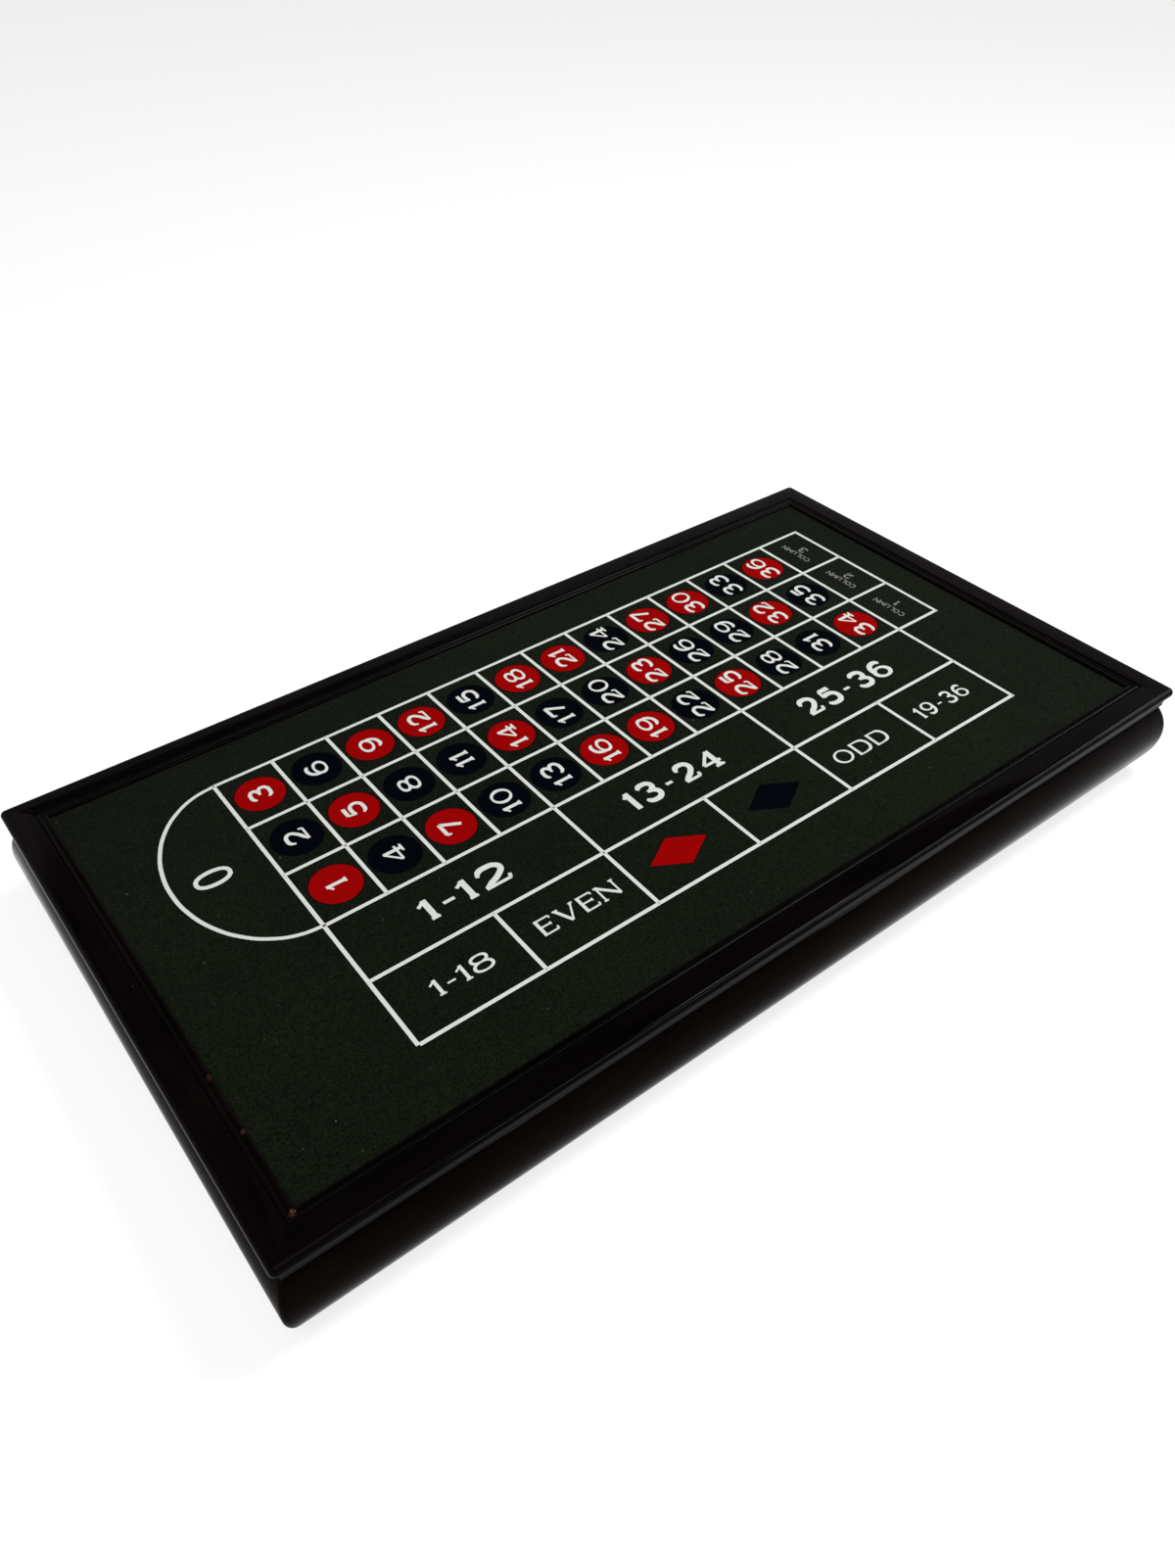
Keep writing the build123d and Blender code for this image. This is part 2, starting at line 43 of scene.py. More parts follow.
# ------------------------------------------------------------------ studio
# The case lies on a pale floor that rises into a wall all round, under two soft lamps, two
# bright cards that gloss reflects and a dim sky. The camera stands over the near left corner.
camera_stand = Vector((-0.3050, -0.3785, 0.4617))
camera_aim = Vector((-0.0291, -0.0117, 0.0560))
camera_roll = math.radians(-0.68)
lens = bpy.data.cameras.new("camera")
lens.sensor_width = 36.0
lens.lens = 27.586
lens.clip_start = 0.01
camera = bpy.data.objects.new("camera", lens)
scene.collection.objects.link(camera)
facing = (camera_aim - camera_stand).to_track_quat("-Z", "Y").to_matrix().to_4x4()
camera.matrix_world = (
    Matrix.Translation(camera_stand) @ facing @ Matrix.Rotation(camera_roll, 4, "Z")
)
scene.camera = camera


def blank(name):
    """A new material with its tree, and the shader that carries its finish."""
    material = bpy.data.materials.new(name)
    material.use_nodes = True
    tree = material.node_tree
    return material, tree, tree.nodes["Principled BSDF"]


def wired(tree, kind, inputs=None, **options):
    """Adds a node with its options, and sets or links its inputs."""
    made = tree.nodes.new("ShaderNode" + kind)
    for option, value in options.items():
        setattr(made, option, value)
    for socket, value in (inputs or {}).items():
        if isinstance(value, bpy.types.NodeSocket):
            tree.links.new(value, made.inputs[socket])
        else:
            made.inputs[socket].default_value = value
    return made


def rounded(work, edges, by, segments=2, clamp_overlap=False):
    """Rounds edges off by so many mm."""
    bmesh.ops.bevel(
        work,
        geom=edges,
        offset=by * MM,
        segments=segments,
        profile=0.5,
        affect="EDGES",
        material=-1,
        clamp_overlap=clamp_overlap,
    )


def softbox(name, stand, aim, size, watts, card=False):
    """A soft lamp, or a bright card that only shows as a reflection in gloss."""
    lamp = bpy.data.lights.new(name, "AREA")
    lamp.shape = "RECTANGLE"
    lamp.size, lamp.size_y = size
    lamp.energy = watts
    box = bpy.data.objects.new(name, lamp)
    scene.collection.objects.link(box)
    box.location = stand
    box.rotation_euler = (Vector(aim) - Vector(stand)).to_track_quat("-Z", "Y").to_euler()
    box.visible_diffuse = not card


softbox("lamp_key", (0.95, -0.25, 1.75), (0, 0, 0), (0.55, 0.55), 22.0)
softbox("lamp_over", (-0.6, -0.5, 2.0), (0, 0, 0), (1.8, 1.8), 22.0)
softbox("card_high", (0.95, -0.95, 1.15), (0, 0, 0), (2.2, 0.10), 30.0, card=True)
softbox("card_side", (1.75, -1.35, 1.05), (0, 0, 0), (1.4, 0.10), 20.0, card=True)

sky = bpy.data.worlds.new("sky")
scene.world = sky
sky.use_nodes = True
sky.node_tree.nodes["Background"].inputs["Color"].default_value = (0.06, 0.06, 0.06, 1)

floor_radius = 5.0
wall_height = 4.0
wall_foot_round = 1200
ground = bmesh.new()
bmesh.ops.create_circle(ground, cap_ends=True, radius=floor_radius, segments=96)
wall_foot = [e for e in ground.edges if e.is_boundary]
wall = bmesh.ops.extrude_edge_only(ground, edges=wall_foot)
risen = [v for v in wall["geom"] if isinstance(v, bmesh.types.BMVert)]
bmesh.ops.translate(ground, verts=risen, vec=(0, 0, wall_height))
rounded(ground, wall_foot, wall_foot_round, 8)
floor_mesh = bpy.data.meshes.new("floor")
ground.to_mesh(floor_mesh)
ground.free()
floor_mesh.shade_smooth()
floor = bpy.data.objects.new("floor", floor_mesh)
scene.collection.objects.link(floor)
paper, tree, shader = blank("studio_paper")
tree.nodes.remove(shader)
seen = wired(tree, "LightPath")
direct = seen.outputs["Is Camera Ray"]
for ray in ("Is Glossy Ray", "Is Transmission Ray"):
    direct = wired(tree, "Math", {0: direct, 1: seen.outputs[ray]}, operation="MAXIMUM").outputs[0]
matt = wired(tree, "BsdfDiffuse", {"Color": (0.7, 0.7, 0.7, 1)})
shade = wired(tree, "BsdfDiffuse", {"Color": (0.35, 0.35, 0.35, 1)})
glow = wired(tree, "Emission", {"Strength": 0.80})
lit = wired(tree, "AddShader", {0: shade.outputs[0], 1: glow.outputs[0]})
pick = wired(tree, "MixShader", {0: direct, 1: matt.outputs[0], 2: lit.outputs[0]})
tree.links.new(pick.outputs[0], tree.nodes["Material Output"].inputs["Surface"])
floor_mesh.materials.append(paper)

# ------------------------------------------------------------------ case body
# Four bulging mouldings of stained hardwood, mitred, tongued and glued at the corners, rounded
# by hand where the mitres meet, and finished in gloss red-brown lacquer.


def noise(tree, vector, scale, low, high, detail=4.0, distortion=0.0):
    """A noise value spread from low to high."""
    cloud = wired(
        tree,
        "TexNoise",
        {"Vector": vector, "Scale": scale, "Detail": detail, "Distortion": distortion},
    )
    spread = {"From Min": 0.3, "From Max": 0.7, "To Min": low, "To Max": high}
    return wired(tree, "MapRange", {"Value": cloud.outputs["Fac"], **spread}).outputs["Result"]


def mixed(tree, factor, first, second):
    """Blends two colours, each a tuple or a link."""
    first, second = ((*c, 1) if isinstance(c, tuple) else c for c in (first, second))
    inputs = {"Factor": factor, "A": first, "B": second}
    return wired(tree, "Mix", inputs, data_type="RGBA").outputs["Result"]


def raised(tree, height, shader, strength, depth):
    """Gives the surface the relief of a height."""
    bump = wired(tree, "Bump", {"Strength": strength, "Distance": depth, "Height": height})
    tree.links.new(bump.outputs["Normal"], shader.inputs["Normal"])


def drifting(tree, colour, value):
    """Lets a colour drift lighter and darker."""
    return wired(tree, "HueSaturation", {"Color": colour, "Value": value}).outputs["Color"]


def specks(tree, where, colour, least, most, pale, share):
    """Scatters a few small pale specks over a colour."""
    spots = wired(tree, "TexNoise", {"Vector": where, "Scale": 640.0, "Detail": 1.0})
    few = {"Value": spots.outputs["Fac"], "From Min": least, "From Max": most, "To Max": share}
    return mixed(tree, wired(tree, "MapRange", few).outputs["Result"], colour, pale)


def wood(name, dark, light, roughness, along, figure, specular=0.3, wear=0, pore=0.15):
    """Straight-grained wood under a finish, drifting in tone, with small nicks where worn."""
    material, tree, shader = blank(name)
    where = wired(tree, "TexCoord").outputs["Object"]
    drawn_out = Vector([0.1 if way == along else 1.0 for way in "xyz"])
    grain = wired(tree, "Mapping", {"Vector": where, "Scale": drawn_out}).outputs["Vector"]
    streaks = noise(tree, grain, figure, 0.0, 1.0, detail=8.0, distortion=0.6)
    clouds = noise(tree, where, 16.0, 0.7, 1.35, detail=5.0)
    colour = drifting(tree, mixed(tree, streaks, dark, light), clouds)
    if wear:
        colour = specks(tree, where, colour, 0.80, 0.83, (0.10, 0.045, 0.026), wear)
    tree.links.new(colour, shader.inputs["Base Color"])
    handled = noise(tree, where, 40.0, roughness * 0.8, roughness * 1.25, detail=6.0)
    tree.links.new(handled, shader.inputs["Roughness"])
    raised(tree, noise(tree, grain, figure * 5, 0.0, 1.0, detail=3.0), shader, pore, 0.0001)
    shader.inputs["Specular IOR Level"].default_value = specular
    return material


def outline(path):
    """Draws a closed section in x and z. A step is a corner (x, z), a corner that is eased
    (x, z, ease), or a clockwise turn about a centre (x, z, degrees, steps). All in mm."""
    work = bmesh.new()
    pen, eased_corners = None, []
    for step in path:
        if len(step) == 4:
            swept = bmesh.ops.spin(
                work,
                geom=[pen],
                cent=(step[0] * MM, 0, step[1] * MM),
                axis=(0, 1, 0),
                angle=math.radians(step[2]),
                steps=step[3],
            )
            pen = [g for g in swept["geom_last"] if isinstance(g, bmesh.types.BMVert)][0]
            continue
        corner = work.verts.new((step[0] * MM, 0, step[1] * MM))
        if pen:
            work.edges.new((pen, corner))
        pen = corner
        if len(step) == 3:
            eased_corners.append((corner, step[2] * MM))
    work.verts.ensure_lookup_table()
    work.edges.new((pen, work.verts[0]))
    bmesh.ops.contextual_create(work, geom=work.edges[:])
    for corner, ease in eased_corners:
        bmesh.ops.bevel(
            work,
            geom=[corner],
            offset=ease,
            segments=3,
            profile=0.5,
            affect="VERTICES",
            material=-1,
        )
    return work


def pulled(work, faces, by):
    """Pulls faces out by a vector."""
    grown = bmesh.ops.extrude_face_region(work, geom=faces)
    far = [v for v in grown["geom"] if isinstance(v, bmesh.types.BMVert)]
    bmesh.ops.translate(work, verts=far, vec=by)


def mitred(work, set_back, half_run, turn, hairline=0.05):
    """Runs a section out along one side and trims both ends to the mitres."""
    reach = (half_run + 40) * MM
    bmesh.ops.translate(work, verts=work.verts, vec=(0, -reach, 0))
    pulled(work, work.faces[:], (0, 2 * reach, 0))
    for way in (-1, 1):
        cut = bmesh.ops.bisect_plane(
            work,
            geom=work.verts[:] + work.edges[:] + work.faces[:],
            plane_co=(0, way * (half_run - hairline) * MM, 0),
            plane_no=Vector((-1, way, 0)).normalized(),
            clear_outer=True,
        )
        rim = [g for g in cut["geom_cut"] if isinstance(g, bmesh.types.BMEdge)]
        if hairline:
            bmesh.ops.contextual_create(work, geom=rim)
    bmesh.ops.translate(work, verts=work.verts, vec=(set_back * MM, 0, 0))
    bmesh.ops.rotate(work, verts=work.verts, matrix=Matrix.Rotation(math.radians(turn), 3, "Z"))
    return work


def finished(work, name, body, materials, stands_for=(), sharp=35.0, closed=True):
    """Turns a worked mesh into a piece that rides on its body."""
    bmesh.ops.remove_doubles(work, verts=work.verts, dist=1e-6)
    if closed:
        bmesh.ops.recalc_face_normals(work, faces=work.faces)
    mesh = bpy.data.meshes.new(name)
    work.to_mesh(mesh)
    work.free()
    for material in materials:
        mesh.materials.append(material)
    mesh.shade_smooth()
    mesh.set_sharp_from_angle(angle=math.radians(sharp))
    piece = bpy.data.objects.new(name, mesh)
    scene.collection.objects.link(piece)
    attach(piece, body)
    if stands_for:
        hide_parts(*stands_for)
    return piece


def cut_away(piece, tool):
    """Takes a closed tool mesh out of a piece."""
    mesh = bpy.data.meshes.new("cutter")
    tool.to_mesh(mesh)
    tool.free()
    cutter = bpy.data.objects.new("cutter", mesh)
    scene.collection.objects.link(cutter)
    cut = piece.modifiers.new("cut", "BOOLEAN")
    cut.object = cutter
    cut.solver = "EXACT"
    shown = piece.evaluated_get(bpy.context.evaluated_depsgraph_get())
    left = bpy.data.meshes.new_from_object(shown)
    piece.modifiers.clear()
    left.name = piece.name
    piece.data = left
    bpy.data.objects.remove(cutter)


def gather(whole, part):
    """Puts a part into the mesh that collects its like."""
    lump = bpy.data.meshes.new("lump")
    part.to_mesh(lump)
    part.free()
    whole.from_mesh(lump)
    bpy.data.meshes.remove(lump)


def block(low, high):
    """A plain block between two corners, in mm."""
    work = bmesh.new()
    bmesh.ops.create_cube(work, size=1.0)
    low, high = Vector(low) * MM, Vector(high) * MM
    bmesh.ops.scale(work, verts=work.verts, vec=high - low)
    bmesh.ops.translate(work, verts=work.verts, vec=(low + high) / 2)
    return work


sight_half = (255.5, 132.0)
quarter_turns = {"right": 0, "back": 90, "left": 180, "front": 270}
case_section = [(-2, 46.4), (14.93, 46.4), (-14.8, 27, 75.6, 28), (10.16, 2, 0.6)]
case_section += [(4, 2), (4, 6), (-2, 6)]
case_dark = (0.0030, 0.0016, 0.0010)
case_light = (0.0078, 0.0040, 0.0024)
case_gloss, case_sheen, case_pore = 0.09, 0.009, 0.006
case_lacquer, case_lacquer_ends = (
    wood(name, case_dark, case_light, case_gloss, along, 130.0, case_sheen, 0, case_pore)
    for name, along in (("case_lacquer", "x"), ("case_lacquer_ends", "y"))
)
arris_round = 2.2
four_rails = bmesh.new()
for side, turn in quarter_turns.items():
    across = turn % 180 == 90
    rail = mitred(outline(case_section), sight_half[across], sight_half[not across], turn, 0)
    for face in rail.faces:
        face.material_index = 0 if across else 1
    gather(four_rails, rail)
bmesh.ops.remove_doubles(four_rails, verts=four_rails.verts, dist=1e-5)
rebate_edge = 0.0102
mitre_lines = []
for edge in four_rails.edges:
    ends = [[abs(v.co[way]) - sight_half[way] * MM for way in (0, 1)] for v in edge.verts]
    along_mitre = all(abs(u - v) < 1e-5 and u > rebate_edge for u, v in ends)
    if along_mitre and edge.calc_face_angle(0) > 0.5:
        mitre_lines.append(edge)
rounded(four_rails, mitre_lines, arris_round, 4)
case_body = finished(
    four_rails,
    "case_body",
    "case",
    [case_lacquer, case_lacquer_ends],
    ["case_rail_front", "case_rail_back", "case_rail_left", "case_rail_right"],
    sharp=40.0,
)
hinge_x = (-150.0, 150.0)
hinge_bed_half = 25.05
hinge_bed_front = 137.45


def cut_hinge_beds(piece, low, high):
    """Lets the beds for both hinges into the back of a piece, between two levels."""
    for x in hinge_x:
        bed = block((x - hinge_bed_half, hinge_bed_front, low), (x + hinge_bed_half, 160, high))
        cut_away(piece, bed)


cut_hinge_beds(case_body, 45.4, 50)

# ------------------------------------------------------------------ corner tongues
# Loose beech tongues glued into slots across the mitres of the case and of the lid, where
# they strengthen the end grain and stay out of sight.
beech = wood("beech", (0.30, 0.18, 0.09), (0.42, 0.27, 0.15), 0.55, "z", 240.0)


def refinish(node, material):
    """Gives a carried-over piece its real finish."""
    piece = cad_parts[node]
    piece.data.materials.clear()
    piece.data.materials.append(material)


refinish("case_corner_tongues", beech)
refinish("lid_corner_tongues", beech)

# ------------------------------------------------------------------ base
# A sheet of plywood let into the rebate under the rails, its arrises broken with paper, and
# held with countersunk slotted screws up into the rails.
plywood = wood("plywood", (0.27, 0.165, 0.085), (0.40, 0.265, 0.145), 0.6, "x", 90.0, 0.25)


def eased(node, name, body, material, ease, sharp=35.0):
    """A copy of a carried-over piece with its sharp edges broken."""
    work = bmesh.new()
    work.from_mesh(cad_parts[node].data)
    bmesh.ops.remove_doubles(work, verts=work.verts, dist=1e-6)
    bmesh.ops.dissolve_limit(
        work, angle_limit=math.radians(0.5), verts=work.verts, edges=work.edges
    )
    limit = math.radians(sharp)
    arrises = [e for e in work.edges if e.is_manifold and e.calc_face_angle(0) > limit]
    rounded(work, arrises, ease, clamp_overlap=True)
    return finished(work, name, body, [material], [node], sharp)


def metal(name, colour, roughness):
    """Plain metal, rubbed and slightly uneven."""
    material, tree, shader = blank(name)
    shader.inputs["Metallic"].default_value = 1.0
    where = wired(tree, "TexCoord").outputs["Object"]
    dull = tuple(c * 0.72 for c in colour)
    aged = noise(tree, where, 55.0, 0.0, 1.0, detail=5.0)
    tree.links.new(mixed(tree, aged, dull, colour), shader.inputs["Base Color"])
    rubbed = noise(tree, where, 90.0, roughness - 0.08, roughness + 0.08, detail=6.0)
    tree.links.new(rubbed, shader.inputs["Roughness"])
    raised(tree, noise(tree, where, 350.0, 0.0, 1.0), shader, 0.006, 0.00003)
    return material


steel = metal("steel", (0.56, 0.57, 0.59), 0.30)
base = eased("base_panel", "base_board", "case", plywood, 0.4)


def moved(work, place, turn=None):
    """Turns a worked mesh about the origin and sets it in its place, in mm."""
    if turn:
        bmesh.ops.rotate(work, verts=work.verts, matrix=turn)
    bmesh.ops.translate(work, verts=work.verts, vec=Vector(place) * MM)
    return work


def screw_heads(name, body, places, up, radius, material):
    """Countersunk slotted heads, flush at their places."""
    heads = bmesh.new()
    slot_half = 0.16 * radius * MM
    thick, slot_deep = 0.8 * MM, 0.5 * MM
    for count, place in enumerate(places):
        head = bmesh.new()
        bmesh.ops.create_circle(head, cap_ends=True, radius=radius * MM, segments=28)
        moved(head, (0, 0, 0), Matrix.Rotation(0.9 * count + 0.4, 3, "Z"))
        pulled(head, head.faces[:], (0, 0, -thick))
        for way in (-1, 1):
            bmesh.ops.bisect_plane(
                head,
                geom=head.verts[:] + head.edges[:] + head.faces[:],
                plane_co=(0, way * slot_half, 0),
                plane_no=(0, 1, 0),
            )
        middles = {face: face.calc_center_median() for face in head.faces}
        slot = [f for f, c in middles.items() if abs(c.y) < slot_half and c.z > -0.01 * MM]
        driven = bmesh.ops.extrude_discrete_faces(head, faces=slot)["faces"]
        floor_of_slot = list({v for f in driven for v in f.verts})
        bmesh.ops.translate(head, verts=floor_of_slot, vec=(0, 0, -slot_deep))
        gather(heads, moved(head, place, None if up else Matrix.Rotation(math.pi, 3, "X")))
    return finished(heads, name, body, [material], closed=False)


base_screw_places = [(x, y, 1.98) for x in (-215, -72, 72, 215) for y in (-131.5, 131.5)]
base_screw_places += [(x, y, 1.98) for x in (-255, 255) for y in (-70, 70)]
base_screws = screw_heads("base_screws", "case", base_screw_places, False, 2.6, steel)

# ------------------------------------------------------------------ felt pads and floor felt
# Four square pads of thick felt glued under the base for feet, and one sheet of thin green
# felt glued down inside over the whole floor of the case.


def felt(name, dark, light, flecks=0.0):
    """Napped wool felt: fibres, a slow drift of tone and a few pale flecks of lint."""
    material, tree, shader = blank(name)
    where = wired(tree, "TexCoord").outputs["Object"]
    nap = noise(tree, where, 1150.0, 0.0, 1.0)
    colour = mixed(tree, nap, dark, light)
    if flecks:
        colour = specks(tree, where, colour, 0.785, 0.83, (0.30, 0.31, 0.28), flecks)
    colour = drifting(tree, colour, noise(tree, where, 9.0, 0.82, 1.15, detail=3.0))
    tree.links.new(colour, shader.inputs["Base Color"])
    shader.inputs["Roughness"].default_value = 0.95
    shader.inputs["Specular IOR Level"].default_value = 0.02
    shader.inputs["Sheen Weight"].default_value = 0.01
    shader.inputs["Sheen Roughness"].default_value = 0.6
    raised(tree, nap, shader, 0.5, 0.0003)
    return material


def felt_sheet(name, body, low, high, material, node):
    """A flat sheet of felt that stands for its solid."""
    work = block(low, high)
    flat = [f for f in work.faces if abs(f.normal.z) > 0.5]
    rounded(work, list({e for f in flat for e in f.edges}), 0.25)
    return finished(work, name, body, [material], [node])


lining_green = felt("lining_felt", (0.009, 0.030, 0.020), (0.020, 0.058, 0.038))
pads = bmesh.new()
for x in (-231.5, 231.5):
    for y in (-108, 108):
        pad = bmesh.ops.create_cube(pads, size=1.0)["verts"]
        bmesh.ops.scale(pads, verts=pad, vec=Vector((20, 20, 2)) * MM)
        bmesh.ops.translate(pads, verts=pad, vec=Vector((x, y, 1)) * MM)
uprights = [e for e in pads.edges if abs(e.verts[0].co.z - e.verts[1].co.z) > MM]
rounded(pads, uprights, 2.5, 4)
rims = [e for e in pads.edges if e.verts[0].co.z == e.verts[1].co.z and e.calc_face_angle(0) > 1]
rounded(pads, rims, 0.5)
foot_felts = finished(pads, "foot_felts", "case", [lining_green], ["foot_pads"])

floor_half = (253.3, 129.8)
floor_sheet = felt_sheet(
    "floor_sheet",
    "case",
    (-floor_half[0], -floor_half[1], 6),
    (floor_half[0], floor_half[1], 7),
    lining_green,
    "floor_felt",
)

# ------------------------------------------------------------------ boards inside
# Three thin mahogany boards, rounded along the top and glued to the floor and to each other,
# that part the inside into bays for the wheel, the chips, the rake and small things.
inner_dark, inner_light = (0.095, 0.032, 0.014), (0.20, 0.080, 0.036)
inner_x = wood("inner_wood_x", inner_dark, inner_light, 0.38, "x", 150.0)
inner_y = wood("inner_wood_y", inner_dark, inner_light, 0.38, "y", 150.0)
for node, name, material in (
    ("bay_partition", "bay_board", inner_y),
    ("rack_partition", "rack_board", inner_x),
    ("tray_partition", "tray_board", inner_x),
):
    board = eased(node, name, "case", material, 0.3, 25.0)

# ------------------------------------------------------------------ wheel bowl
# A mahogany bowl turned in one piece: rounded rim, ball track, sloping apron and a well for
# the wheelhead, with brass lozenge stops pinned to the apron and a steel spindle in its boss.


def turned(path, steps=148):
    """Turns a section about the z axis at the origin."""
    work = outline(path)
    bmesh.ops.delete(work, geom=work.faces[:], context="FACES_ONLY")
    axis_lines = [e for e in work.edges if all(abs(v.co.x) < 1e-7 for v in e.verts)]
    for line in axis_lines:
        work.edges.remove(line)
    bmesh.ops.spin(
        work,
        geom=work.verts[:] + work.edges[:],
        cent=(0, 0, 0),
        axis=(0, 0, 1),
        angle=math.tau,
        steps=steps,
        use_merge=True,
    )
    bmesh.ops.remove_doubles(work, verts=work.verts, dist=1e-6)
    return work


wheel_x = -127.5
wheel_dark, wheel_light = (0.060, 0.016, 0.007), (0.150, 0.050, 0.020)
wheel_wood = wood("wheel_wood", wheel_dark, wheel_light, 0.2, "x", 120.0, 0.4)
bowl_path = [(4, 7), (124, 7, 1), (124, 35, 2), (117.5, 35, 2), (117.5, 29.5, 0.8)]
bowl_path += [(109, 27, 1), (84.5, 21, 0.5), (84.5, 11.5), (14, 11.5), (14, 12.45), (4, 12.45)]
bowl = moved(turned(bowl_path), (wheel_x, 0, 0))
bowl = finished(bowl, "turned_bowl", "case", [wheel_wood], ["wheel_bowl"])
brass = metal("brass", (0.78, 0.56, 0.24), 0.24)
stops = eased("ball_deflectors", "lozenge_stops", "case", brass, 0.25, 25.0)
pin = moved(turned([(0, 7), (4, 7), (4, 27.4, 0.8), (0, 27.4)], 32), (wheel_x, 0, 0))
pin = finished(pin, "wheel_spindle", "case", [steel], ["spindle"])

# ------------------------------------------------------------------ wheelhead
# A turned cone with a flange carries the painted number ring; thin brass frets stand between
# 37 pockets, their floors painted to match, and the whole head spins on the spindle.
european_order = [0, 32, 15, 19, 4, 21, 2, 25, 17, 34, 6, 27, 13, 36, 11, 30, 8, 23, 10]
european_order += [5, 24, 16, 33, 1, 20, 14, 31, 9, 22, 18, 29, 7, 28, 12, 35, 3, 26]
red_numbers = {1, 3, 5, 7, 9, 12, 14, 16, 18, 19, 21, 23, 25, 27, 30, 32, 34, 36}
sector = math.tau / len(european_order)


def plastic(name, colour, roughness=0.3, mottle=0.85):
    """Paint or moulded plastic with a slight mottle and fine scuffs in its gloss."""
    material, tree, shader = blank(name)
    where = wired(tree, "TexCoord").outputs["Object"]
    cloud = noise(tree, where, 120.0, 0.0, 1.0, detail=5.0)
    dull = tuple(c * mottle for c in colour)
    tree.links.new(mixed(tree, cloud, dull, colour), shader.inputs["Base Color"])
    scuffs = noise(tree, where, 400.0, roughness * 0.75, roughness * 1.3, detail=6.0)
    tree.links.new(scuffs, shader.inputs["Roughness"])
    raised(tree, noise(tree, where, 900.0, 0.0, 1.0), shader, 0.08, 0.00004)
    return material


ring_red = plastic("ring_red", (0.42, 0.012, 0.012))
ring_black = plastic("ring_black", (0.010, 0.010, 0.011))
ring_green = plastic("ring_green", (0.010, 0.16, 0.05))
ring_paints = [ring_black, ring_red, ring_green]


def paint_sectors(work):
    """Gives every face the paint of the number whose sector it lies in."""
    for face in work.faces:
        middle = face.calc_center_median()
        turn = math.atan2(-middle.y, middle.x) % math.tau
        number = european_order[int(turn / sector + 0.5) % len(european_order)]
        face.material_index = 2 if number == 0 else int(number in red_numbers)
    return work


def in_sectors(work):
    """Turns a ring so that its first face starts at a fret."""
    half = Matrix.Rotation(sector / 2, 3, "Z")
    bmesh.ops.rotate(work, verts=work.verts, matrix=half)
    return paint_sectors(work)


ring_inner, ring_outer, ring_low, ring_high = 65.5, 82.5, 19, 20.5
cone_path = [(4.05, 28.4), (4.05, 12.5), (ring_outer, 12.5), (ring_outer, 14)]
cone_path += [(49, 14), (49, 18, 0.8), (24, 21.9, 8), (12, 28.4, 1)]
cone = moved(turned(cone_path), (wheel_x, 0, 0))
cone = finished(cone, "turned_cone", "wheelhead", [wheel_wood], ["rotor_cone"])
ring_path = [(ring_inner, 14), (ring_outer, 14)]
ring_path += [(ring_outer, ring_high, 0.5), (ring_inner, ring_low, 0.3)]
ring = moved(in_sectors(turned(ring_path)), (wheel_x, 0, 0))
ring = finished(ring, "painted_ring", "wheelhead", ring_paints, ["number_ring"])
floor_path = [(49.3, 14.01), (65.2, 14.01), (65.2, 14.07), (49.3, 14.07)]
pocket_floor = moved(in_sectors(turned(floor_path)), (wheel_x, 0, 0))
pocket_floor = finished(pocket_floor, "pocket_floors", "wheelhead", ring_paints)
frets = eased("pocket_frets", "brass_frets", "wheelhead", brass, 0.15, 25.0)

